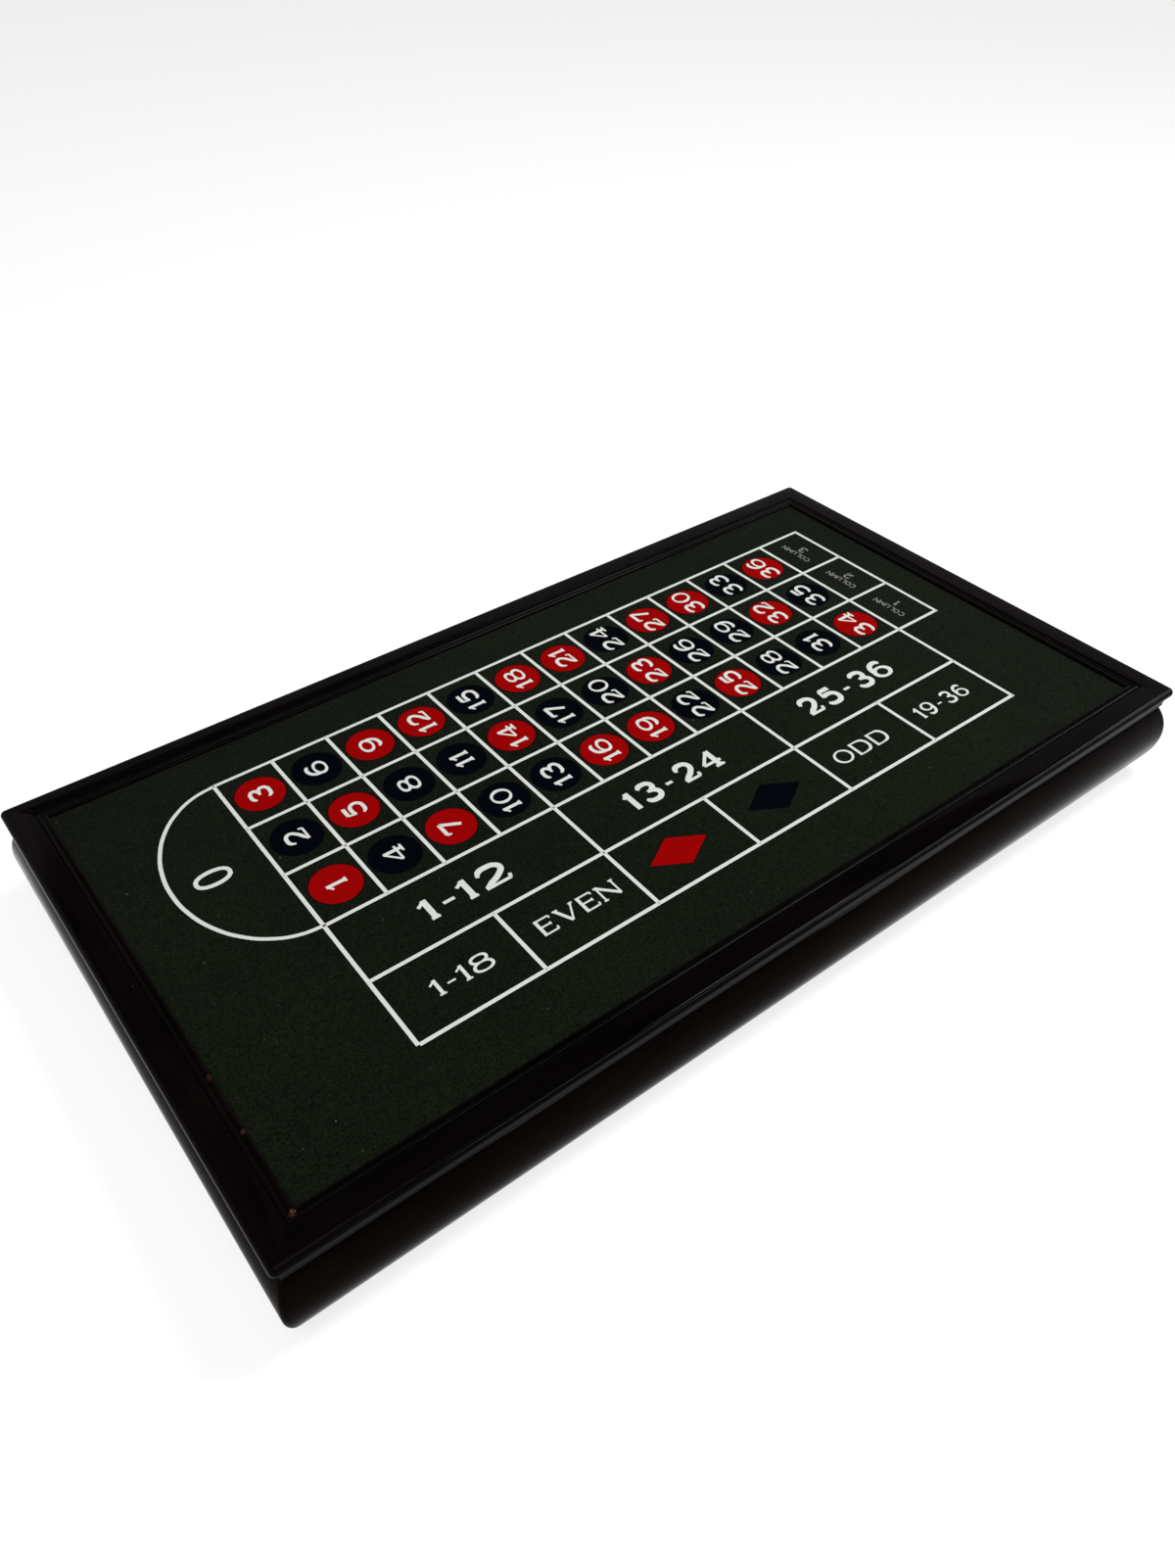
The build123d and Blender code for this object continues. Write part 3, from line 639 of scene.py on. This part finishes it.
# Each glyph is a width against its height and its strokes, drawn through their points in a
# box from 0 to 1: straight and full (s), straight and thin (t), curved (c) and closed (o).
glyphs = {
    "0": (0.92, "o .5 1 1 .5 .5 0 0 .5"),
    "1": (0.36, "s .62 0 .62 1; t .62 .93 -.6 .74; t -.05 .02 1.29 .02"),
    "2": (0.88, "c .03 .72 .2 .95 .5 1 .82 .93 .95 .7 .72 .42 .3 .2 .02 .06; "
                "t 0 .02 1 .02; t .98 .02 1.04 .22"),
    "3": (0.88, "c .04 .84 .22 .97 .5 1 .8 .94 .92 .76 .78 .58 .42 .53; "
                "c .42 .53 .8 .49 1 .28 .82 .05 .48 0 .18 .05 0 .2"),
    "4": (0.98, "s .76 0 .76 1; t .76 .98 0 .32; t 0 .3 1.04 .3; t .5 .02 1.02 .02"),
    "5": (0.88, "s .93 .96 .2 .96; t .2 .98 .12 .54; "
                "c .12 .54 .3 .63 .55 .65 .86 .58 1 .33 .84 .07 .5 0 .18 .04 0 .17"),
    "6": (0.92, "c .93 .86 .76 .98 .52 1 .2 .88 .03 .58 .02 .3; o .5 .62 1 .31 .5 0 0 .31"),
    "7": (0.88, "s 0 .96 1 .96; s .97 .96 .36 0; t -.02 .98 -.02 .74"),
    "8": (0.92, "o .5 1 .93 .77 .5 .54 .07 .77; o .5 .54 1 .27 .5 0 0 .27"),
    "9": (0.92, "c .07 .14 .24 .02 .48 0 .8 .12 .97 .42 .98 .7; o .5 1 1 .69 .5 .38 0 .69"),
    "-": (0.50, "t 0 .42 1 .42"),
    "C": (1.05, "c 1 .8 .8 .96 .5 1 .14 .85 0 .5 .14 .15 .5 0 .8 .04 1 .2"),
    "D": (1.10, "s .04 0 .04 1; t -.06 1 .45 1; t -.06 0 .45 0; c .45 1 .84 .9 1 .5 .84 .1 .45 0"),
    "E": (0.95, "s .04 0 .04 1; t -.08 1 1 1; t .04 .52 .8 .52; t -.08 0 1 0; "
                "t .98 1 1 .84; t .98 0 1 .18; t .8 .43 .8 .61"),
    "L": (0.90, "s 0 1 0 0; s 0 0 1 0"),
    "M": (1.25, "s 0 0 0 1; s 0 1 .5 .15; s .5 .15 1 1; s 1 1 1 0"),
    "N": (1.10, "t 0 0 0 1; s 0 1 1 0; t 1 0 1 1; t -.14 1 .12 1; t -.13 0 .13 0; t .87 1 1.13 1"),
    "O": (1.15, "o .5 1 1 .5 .5 0 0 .5"),
    "U": (1.05, "s 0 1 0 .4; c 0 .4 .12 .1 .5 0 .88 .1 1 .4; s 1 .4 1 1"),
    "V": (1.15, "s .02 1 .5 0; t .5 0 .98 1; t -.1 1 .2 1; t .86 1 1.1 1"),
}


class Lettering:
    """Collects painted strokes as curves, and turns them into one flat piece."""

    def __init__(self, name):
        """Starts with an empty curve for round strokes."""
        self.curve = bpy.data.curves.new(name, "CURVE")
        self.curve.dimensions = "3D"
        self.curve.bevel_depth = 0.5 * MM
        self.curve.bevel_resolution = 1
        self.curve.resolution_u = 5
        self.curve.use_fill_caps = True

    def stroke(self, points, weights, smooth=False, closed=False):
        """Draws one stroke through its points, in mm, as thick at each as its weight."""
        spline = self.curve.splines.new("BEZIER")
        spline.bezier_points.add(len(points) - 1)
        for knot, (x, y), weight in zip(spline.bezier_points, points, weights):
            knot.co = (x * MM, y * MM, 0)
            kind = "AUTO" if smooth else "VECTOR"
            knot.handle_left_type = knot.handle_right_type = kind
            knot.radius = weight
        spline.use_cyclic_u = closed

    def write(self, text, centre, height, weight, turn=0.0, wide=None, contrast=0.6, room=None):
        """Writes a line of text about its centre, turned by degrees. It is as wide as given,
        or it takes its own width and is squeezed where that is more than its room."""
        tall = height - weight
        gap = 0.16 * height + weight
        widths = [glyphs[letter][0] * height - weight for letter in text]
        spread = gap * (len(text) - 1)
        if room and sum(widths) + spread + weight > room:
            wide = room
        stretch = (wide - weight - spread) / sum(widths) if wide else 1.0
        pen = -(sum(widths) * stretch + spread) / 2
        spin = Matrix.Rotation(math.radians(turn), 2)
        thin = weight * contrast
        for letter, width in zip(text, widths):
            width *= stretch
            for part in glyphs[letter][1].split(";"):
                kind, *numbers = part.split()
                numbers = [float(n) for n in numbers]
                path = []
                for x, y in zip(numbers[::2], numbers[1::2]):
                    place = spin @ Vector((pen + x * width, (y - 0.5) * tall))
                    path.append((centre[0] + place.x, centre[1] + place.y))
                weights = [thin if kind == "t" else weight] * len(path)
                if kind == "c":
                    weights[0] = weights[-1] = thin
                if kind == "o":
                    weights[::2] = [thin, thin]
                self.stroke(path, weights, kind in "co", kind == "o")
            pen += width + gap

    def piece(self, body, material, level, flatness=0.03, lift=None):
        """Makes the strokes a flat mesh on its surface, and fixes it to a body."""
        carrier = bpy.data.objects.new(self.curve.name, self.curve)
        scene.collection.objects.link(carrier)
        shown = carrier.evaluated_get(bpy.context.evaluated_depsgraph_get())
        mesh = bpy.data.meshes.new_from_object(shown)
        bpy.data.objects.remove(carrier)
        work = bmesh.new()
        work.from_mesh(mesh)
        bpy.data.meshes.remove(mesh)
        bmesh.ops.scale(work, verts=work.verts, vec=(1, 1, flatness))
        for vert in work.verts:
            vert.co.z += lift(vert.co) if lift else level * MM
        return finished(work, self.curve.name + "_print", body, [material])


white_paint = plastic("white_paint", (0.78, 0.77, 0.72), 0.4)
ring_numbers = Lettering("ring_numbers")
for count, number in enumerate(european_order):
    angle = -math.degrees(sector) * count
    spot = Vector((74, 0)) @ Matrix.Rotation(math.radians(-angle), 2)
    centre = (wheel_x + spot.x, spot.y)
    ring_numbers.write(str(number), centre, 7.6, 1.0, angle - 90, room=9.4)


def ring_slope(place):
    """How high the painted ring stands under a place."""
    radius = math.hypot(place.x - wheel_x * MM, place.y) / MM
    rise = (radius - ring_inner) * (ring_high - ring_low) / (ring_outer - ring_inner)
    return (ring_low + rise + 0.02) * MM


ring_figures = ring_numbers.piece("wheelhead", white_paint, 0, 0.08, ring_slope)

# ------------------------------------------------------------------ turret
# Polished brass turned in the lathe: a hub screwed down on the cone, four arms with ball
# ends to spin the wheel by, and a ball finial.
hub_path = [(0, 28.4), (9.5, 28.4, 0.3), (9.5, 29.6, 0.4), (8, 31.1, 0.5), (8, 37.4, 1)]
hub_path += [(4.8, 39, 0.6), (0, 39)]
hub = moved(turned(hub_path, 48), (wheel_x, 0, 0))
hub = finished(hub, "brass_hub", "wheelhead", [brass], ["turret_hub"])
arm_level = 35.29
arms, knobs = bmesh.new(), bmesh.new()
knob_path = [(0, 25), (1.9, 25, 0.3), (3, 26.4, 0.9), (3, 29.3, 1.2), (1.4, 30.8, 0.8), (0, 30.8)]
for quarter in range(4):
    turn = Matrix.Rotation(math.radians(45 + 90 * quarter), 3, "Z")
    for work, shape in (
        (arms, turned([(0, 1.6), (1.55, 1.6), (1.55, 24.2), (0, 24.2)], 24)),
        (knobs, turned(knob_path, 32)),
    ):
        laid = turn @ Matrix.Rotation(math.pi / 2, 3, "Y")
        gather(work, moved(shape, (wheel_x, 0, arm_level), laid))
arms = finished(arms, "brass_arms", "wheelhead", [brass], ["turret_arms"])
knobs = finished(knobs, "brass_knobs", "wheelhead", [brass], ["arm_knobs"])
finial_path = [(0, 39), (1.8, 39), (1.8, 40.6, 0.5), (3.15, 42.2, 1.2), (3.15, 45.4, 1.6)]
finial_path += [(1.2, 47, 0.8), (0, 47)]
finial = moved(turned(finial_path, 40), (wheel_x, 0, 0))
finial = finished(finial, "brass_finial", "wheelhead", [brass], ["turret_finial"])

# ------------------------------------------------------------------ chip rack and chips
# A mahogany block milled with six round-bottomed troughs; each holds eleven moulded chips on
# edge, with pale spots let into their rims.
rack = block((4.7, 60, 7), (253.3, 129.8, 25))
rack = finished(rack, "milled_rack", "case", [inner_x], ["chip_rack"])
chip_level = 29
trough_round, trough_pitch, rack_middle = 19.3 * MM, 38.8, 129
trough = dict(radius1=trough_round, radius2=trough_round, depth=49.4 * MM, segments=72)
trough_x = [rack_middle + (k - 2.5) * trough_pitch for k in range(6)]
troughs = bmesh.new()
for x in trough_x:
    cutter = bmesh.new()
    bmesh.ops.create_cone(cutter, cap_ends=True, **trough)
    gather(troughs, moved(cutter, (x, 91.7, chip_level), Matrix.Rotation(math.pi / 2, 3, "X")))
cut_away(rack, troughs)
rack.data.set_sharp_from_angle(angle=math.radians(35))

chip_colours = {
    "red": (0.42, 0.020, 0.016),
    "white": (0.72, 0.68, 0.60),
    "blue": (0.020, 0.065, 0.30),
    "yellow": (0.70, 0.46, 0.06),
    "green": (0.015, 0.16, 0.07),
    "black": (0.014, 0.014, 0.015),
}
chip_spot = plastic("chip_spot", (0.74, 0.72, 0.66), 0.45)
chip_spot_dark = plastic("chip_spot_dark", (0.16, 0.02, 0.02), 0.45)
chip_path = [(0, 0), (19, 0, 0.5), (19, 3.3, 0.5), (14.4, 3.3), (14.2, 3.15)]
chip_path += [(13.4, 3.15), (13.2, 3.3), (0, 3.3)]
first_chip_y, chip_pitch, chips_a_roll = 67.1, 3.4, 11
for lane, (colour, tone) in enumerate(chip_colours.items()):
    paint = plastic("chip_" + colour, tone, 0.42, 0.9)
    roll = bmesh.new()
    for count in range(chips_a_roll):
        chip = turned(chip_path, 72)
        for face in chip.faces:
            middle = face.calc_center_median()
            turn = math.degrees(math.atan2(middle.y, middle.x)) % 60
            face.material_index = int(turn < 15 and middle.xy.length > 16.5 * MM)
        rolled = Matrix.Rotation(0.61 * count + 1.3 * lane, 3, "Z")
        laid = Matrix.Rotation(-math.pi / 2, 3, "X") @ rolled
        place = (trough_x[lane], first_chip_y + chip_pitch * count, chip_level)
        gather(roll, moved(chip, place, laid))
    spots = chip_spot_dark if colour == "white" else chip_spot
    chips = finished(roll, f"moulded_chips_{colour}", "case", [paint, spots], [f"chips_{colour}"])

# ------------------------------------------------------------------ rake
# The croupier's rake: a turned handle with a knobbed end, tenoned and glued into a thin
# tapered head.
rake_dark, rake_light = (0.17, 0.075, 0.030), (0.32, 0.165, 0.075)
rake_wood = wood("rake_wood", rake_dark, rake_light, 0.32, "x", 170.0)
rake_head_wood = wood("rake_head_wood", rake_dark, rake_light, 0.32, "y", 170.0)
handle_path = [(0, 8.5), (4, 8.5, 1), (5, 9.5, 0.6), (5, 16.5, 0.6), (4, 17.5, 0.6)]
handle_path += [(4, 227.5), (2.4, 227.5), (2.4, 237.5), (0, 237.5)]
handle = moved(turned(handle_path, 40), (0, 11, 12.3), Matrix.Rotation(math.pi / 2, 3, "Y"))
handle = finished(handle, "turned_handle", "case", [rake_wood], ["rake_handle"])
head = eased("rake_head", "tapered_head", "case", rake_head_wood, 0.5, 30.0)

# ------------------------------------------------------------------ ball rail and balls
# A planed strip along the front wall with two drilled cups, and the two polished balls that
# rest in them.
strip = eased("ball_rail", "drilled_strip", "case", inner_x, 0.4)
ivory = plastic("ivory", (0.84, 0.81, 0.72), 0.16, 0.94)
balls = bmesh.new()
ball_radius, cup_y, ball_level = 6.5, -121.8, 18.3
for cup_x in (18.5, 239.5):
    ball = bmesh.new()
    bmesh.ops.create_uvsphere(ball, u_segments=48, v_segments=24, radius=ball_radius * MM)
    gather(balls, moved(ball, (cup_x, cup_y, ball_level)))
balls = finished(balls, "polished_balls", "case", [ivory], ["balls"])

# ------------------------------------------------------------------ hinges
# Two brass butt hinges let flush into the rail and the lid frame at the back, three knuckles
# each on a fixed pin, held with slotted brass screws.
for node, name, body, level in (
    ("hinge_leaves_case", "case_hinges", "case", 46.37),
    ("hinge_leaves_lid", "lid_hinges", "lid", 46.43),
):
    leaves = eased(node, name, body, brass, 0.12, 30.0)
    rows = ((-17, 143.0), (0, 144.2), (17, 143.0))
    spots = [(x + step, y, level) for x in hinge_x for step, y in rows]
    heads = screw_heads(name + "_screws", body, spots, body == "case", 2.1, brass)

# ------------------------------------------------------------------ lid frame
# Four lengths of a picture-frame moulding: a bead and an astragal beside the felt, a flat,
# a round nose and a cove below, mitred, tongued and glued, in near-black gloss lacquer.
frame_dark, frame_light = (0.0009, 0.0006, 0.0008), (0.0032, 0.0019, 0.0022)
# The two end lengths take a lighter copy of the same lacquer. The extra lightness is painted
# sheen, standing for the brighter reflection on their tops, and is not a different finish.
ends_dark_painted_sheen, ends_light_painted_sheen = (0.0016, 0.0009, 0.0010), (0.0050, 0.0027, 0.0028)
gloss, sheen, wear, pore = 0.065, 0.021, 0.6, 0.004
frame_lacquer, frame_lacquer_ends_painted_sheen = (
    wood(name, dark, light, gloss, along, 150.0, sheen, wear, pore)
    for name, dark, light, along in (
        ("frame_lacquer", frame_dark, frame_light, "x"),
        ("frame_lacquer_ends_painted_sheen", ends_dark_painted_sheen, ends_light_painted_sheen, "y"),
    )
)


def nicked(material, place, radius, bare):
    """A chip in the lacquer that shows the stained wood."""
    tree = material.node_tree
    shader = tree.nodes["Principled BSDF"]
    where = wired(tree, "TexCoord").outputs["Object"]
    size = Vector((radius, radius, radius)) * MM
    inputs = {"Vector": where, "Location": Vector(place) * MM, "Scale": size}
    near = wired(tree, "Mapping", inputs, vector_type="TEXTURE")
    inputs = {"Vector": near.outputs["Vector"]}
    ball = wired(tree, "TexGradient", inputs, gradient_type="SPHERICAL")
    inputs = {0: ball.outputs["Fac"], 1: noise(tree, where, 1600.0, -1.0, 4.0)}
    ragged = wired(tree, "Math", inputs, operation="MULTIPLY", use_clamp=True)
    sound = shader.inputs["Base Color"].links[0].from_socket
    chipped = mixed(tree, ragged.outputs[0], sound, bare)
    tree.links.new(chipped, shader.inputs["Base Color"])


for lacquer in (frame_lacquer, frame_lacquer_ends_painted_sheen):
    nicked(lacquer, (-257.2, -133.7, 57.6), 1.7, (0.13, 0.055, 0.034))
    nicked(lacquer, (-256.9, -92.0, 57.8), 1.5, (0.05, 0.020, 0.016))
    nicked(lacquer, (-256.9, -61.0, 57.8), 2.0, (0.03, 0.012, 0.010))
frame_section = [(0, 56), (0, 56.55), (1.32, 56.55, 90, 6), (2.2, 57.87, 0.1), (2.2, 56.97)]
frame_section += [(2.9, 56.97), (2.9, 57.1), (4.0, 56.995, 169.1, 9), (5.1, 56.94), (5.8, 56.94)]
nose_section = [(16.2, 58.2), (16.2, 55.4, 90, 8), (19, 54.4, 0.3), (18.4, 53.8)]
nose_section += [(23.506, 48.29, -49.4, 8)]
frame_section += [(5.8, 58.2, 0.35), *nose_section, (16, 46.4), (5, 46.4), (5, 56)]
frame_wide = 19
corner_round = 3.0
corner_axis = [half + frame_wide - corner_round for half in sight_half]


def corner_waste():
    """What is filed off the frame's four corners, so that its nose runs round them."""
    skin = 0.02
    inset = frame_wide - corner_round - skin
    path = [(step[0] - inset, *step[1:]) for step in nose_section]
    path += [(skin, 45), (8, 45), (8, 60), (path[0][0], 60)]
    waste = bmesh.new()
    for turn, right, back in ((0, 1, 1), (90, -1, 1), (180, -1, -1), (270, 1, -1)):
        bit = outline(path)
        everything = bit.verts[:] + bit.edges[:] + bit.faces[:]
        bmesh.ops.spin(
            bit, geom=everything, cent=(0, 0, 0), axis=(0, 0, 1), angle=math.pi / 2, steps=10
        )
        place = (corner_axis[0] * right, corner_axis[1] * back, 0)
        moved(bit, place, Matrix.Rotation(math.radians(turn), 3, "Z"))
        bmesh.ops.recalc_face_normals(bit, faces=bit.faces)
        for face in bit.faces:
            face.smooth = True
        gather(waste, bit)
    return waste


for side, turn in quarter_turns.items():
    across = turn % 180 == 90
    rail = mitred(outline(frame_section), sight_half[across], sight_half[not across], turn)
    # The end lengths take the lacquer copy with painted sheen.
    lacquer = frame_lacquer if across else frame_lacquer_ends_painted_sheen
    rail = finished(rail, f"frame_{side}", "lid", [lacquer], [f"lid_frame_{side}"], 40.0)
    cut_away(rail, corner_waste())
    rail.data.set_sharp_from_angle(angle=math.radians(40))
    if side == "back":
        cut_hinge_beds(rail, 44, 47.4)

# ------------------------------------------------------------------ lid panel and lining
# A plywood panel under the felt, held up into the frame by four mitred battens that also
# drop inside the case when it shuts, and a sheet of green felt glued between them.
panel = eased("lid_panel", "felted_panel", "lid", plywood, 0.3)
batten_section = [(-10, 50), (4.8, 50), (4.8, 46.5), (-2.5, 46.5), (-2.5, 42, 1), (-10, 42, 0.6)]
for side, turn in quarter_turns.items():
    across = turn % 180 == 90
    batten = mitred(outline(batten_section), sight_half[across], sight_half[not across], turn)
    planed = inner_x if across else inner_y
    batten = finished(batten, f"batten_{side}", "lid", [planed], [f"lid_batten_{side}"])
lining_half = (245.3, 121.8)
lining = felt_sheet(
    "lining_sheet",
    "lid",
    (-lining_half[0], -lining_half[1], 49),
    (lining_half[0], lining_half[1], 50),
    lining_green,
    "lid_lining",
)

# ------------------------------------------------------------------ layout felt
# One sheet of dark green felt glued over the panel, its edges under the lip of the frame,
# printed with the betting layout before it was cut.
layout_green = felt("layout_felt", (0.0010, 0.0025, 0.0008), (0.0112, 0.0152, 0.0080), 0.5)
felt_half = (260.3, 136.8)
layout_sheet = felt_sheet(
    "layout_sheet",
    "lid",
    (-felt_half[0], -felt_half[1], 55),
    (felt_half[0], felt_half[1], 56),
    layout_green,
    "layout_felt",
)

cell_long, cell_wide = 31.794, 39.9
dozen_strip, chance_strip, column_long = 40.65, 41.48, 32.72
home = Vector((-180.35, -15.33))


def at(x, y):
    """A place on the printed table, in mm from the corner by number 1."""
    return home.x + x, home.y + y


def ink(name, colour, shadow=0.72):
    """Screen-printed ink that takes the nap of the felt under it."""
    material, tree, shader = blank(name)
    where = wired(tree, "TexCoord").outputs["Object"]
    nap = noise(tree, where, 1500.0, 0.0, 1.0, detail=3.0)
    thin = tuple(c * shadow for c in colour)
    tree.links.new(mixed(tree, nap, thin, colour), shader.inputs["Base Color"])
    shader.inputs["Roughness"].default_value = 0.8
    shader.inputs["Specular IOR Level"].default_value = 0.012
    raised(tree, nap, shader, 0.35, 0.0002)
    return material


white_ink = ink("white_ink", (0.82, 0.84, 0.80), 0.85)
grey_ink = ink("grey_ink", (0.38, 0.39, 0.36))
red_ink = ink("red_ink", (0.36, 0.0006, 0.0010), 0.8)
navy_ink = ink("navy_ink", (0.0004, 0.0010, 0.0034))
outline_ink = ink("outline_ink", (0.0020, 0.0020, 0.0024))

grid = Lettering("layout_lines")
table_long = 12 * cell_long
table_top = 3 * cell_wide
table_low = -dozen_strip - chance_strip
table_end = table_long + column_long
rule = 2.0
over = rule / 2
lines = [[(-over, cell_wide * k), (table_end + over, cell_wide * k)] for k in range(4)]
lines += [[(-over, y), (table_long + over, y)] for y in (-dozen_strip, table_low)]
lines += [[(cell_long * k, 0), (cell_long * k, table_top)] for k in range(1, 13)]
end_rule = [(-1.6, table_low), (-0.6, table_top)]
lines += [end_rule]
lines += [[(table_end, 0), (table_end, table_top)]]
lines += [[(cell_long * k, -dozen_strip), (cell_long * k, 0)] for k in (4, 8)]
lines += [[(cell_long * k, table_low), (cell_long * k, -dozen_strip)] for k in (2, 4, 6, 8, 10)]
lines += [[(table_long, table_low), (table_long, 0)]]
for line in lines:
    grid.stroke([at(*p) for p in line], (rule, rule))
arc_long = 48.0
arc = [
    (-arc_long * math.sin(math.radians(a)), table_top / 2 * (1 + math.cos(math.radians(a))))
    for a in range(0, 181, 15)
]
grid.stroke([at(*p) for p in arc], [rule] * len(arc), smooth=True)
zero_middle = (arc_long * -0.586, table_top / 2 - 0.85)
zero = [
    at(zero_middle[0] + 8.45 * x, zero_middle[1] + 4.75 * y)
    for x, y in ((1, 0), (0, 1), (-1, 0), (0, -1))
]
grid.stroke(zero, (2.2, 2.5, 2.2, 2.5), smooth=True, closed=True)
layout_lines = grid.piece("lid", white_ink, 56.0)


def printed(name, spots, radius, level, material, sides=64, spread=(1, 1)):
    """Flat discs or lozenges of ink at their spots."""
    work = bmesh.new()
    for x, y in spots:
        spot = bmesh.new()
        bmesh.ops.create_circle(spot, cap_ends=True, radius=radius * MM, segments=sides)
        bmesh.ops.scale(spot, verts=spot.verts, vec=(*spread, 1))
        pulled(spot, spot.faces[:], (0, 0, 0.02 * MM))
        gather(work, moved(spot, (*at(x, y), level)))
    return finished(work, name, "lid", [material])


disc_radius = 12.85
ink_level, under_ink = 56.01, 55.995
spots = {
    number: (((number - 1) // 3 + 0.5) * cell_long, ((number - 1) % 3 + 0.5) * cell_wide)
    for number in range(1, 37)
}
reds = [spots[n] for n in sorted(red_numbers)]
blacks = [spots[n] for n in spots if n not in red_numbers]
everywhere = list(spots.values())
lozenge = (17.7, 10.5)
lozenge_rim = (lozenge[0] + 0.5, lozenge[1] + 0.4)
chance_y = -dozen_strip - chance_strip / 2
red_spot = [(5 * cell_long - 2.3, chance_y)]
navy_spot = [(7 * cell_long - 2.7, chance_y)]
both = red_spot + navy_spot
prints = [
    layout_lines,
    printed("disc_outlines", everywhere, disc_radius + 0.5, under_ink, outline_ink),
    printed("red_discs", reds, disc_radius, ink_level, red_ink),
    printed("black_discs", blacks, disc_radius, ink_level, navy_ink),
    printed("lozenge_outlines", both, 1.0, under_ink, outline_ink, 4, lozenge_rim),
    printed("red_lozenge", red_spot, 1.0, ink_level, red_ink, 4, lozenge),
    printed("navy_lozenge", navy_spot, 1.0, ink_level, navy_ink, 4, lozenge),
]

numbers = Lettering("layout_numbers")
for number, spot in spots.items():
    numbers.write(str(number), at(*spot), 12.2, 2.05, 90)
dozens = (("1-12", 46.6, -2.0), ("13-24", 61.0, -2.0), ("25-36", 68.0, -3.3))
for k, (text, wide, shift) in enumerate(dozens):
    middle = at((4 * k + 2) * cell_long + shift, -dozen_strip / 2)
    numbers.write(text, middle, 16.0, 3.1, 0, wide)
chances = ((0, "1-18", 30.0, 1.8), (1, "EVEN", 45.0, 1.0))
chances += ((4, "ODD", 37.6, -3.3), (5, "19-36", 39.0, -2.9))
for k, text, wide, shift in chances:
    middle = at((2 * k + 1) * cell_long + shift, chance_y)
    numbers.write(text, middle, 11.0, 1.7, 0, wide)
prints.append(numbers.piece("lid", white_ink, 56.035))
small = Lettering("column_marks")
for k in range(3):
    row = (k + 0.5) * cell_wide
    small.write("COLUMN", at(table_long + 13.6, row), 4.0, 0.5, 90, 23.0, 1.0)
    small.write(str(k + 1), at(table_long + 20.2, row), 6.0, 0.8, 90)
prints.append(small.piece("lid", grey_ink, ink_level))
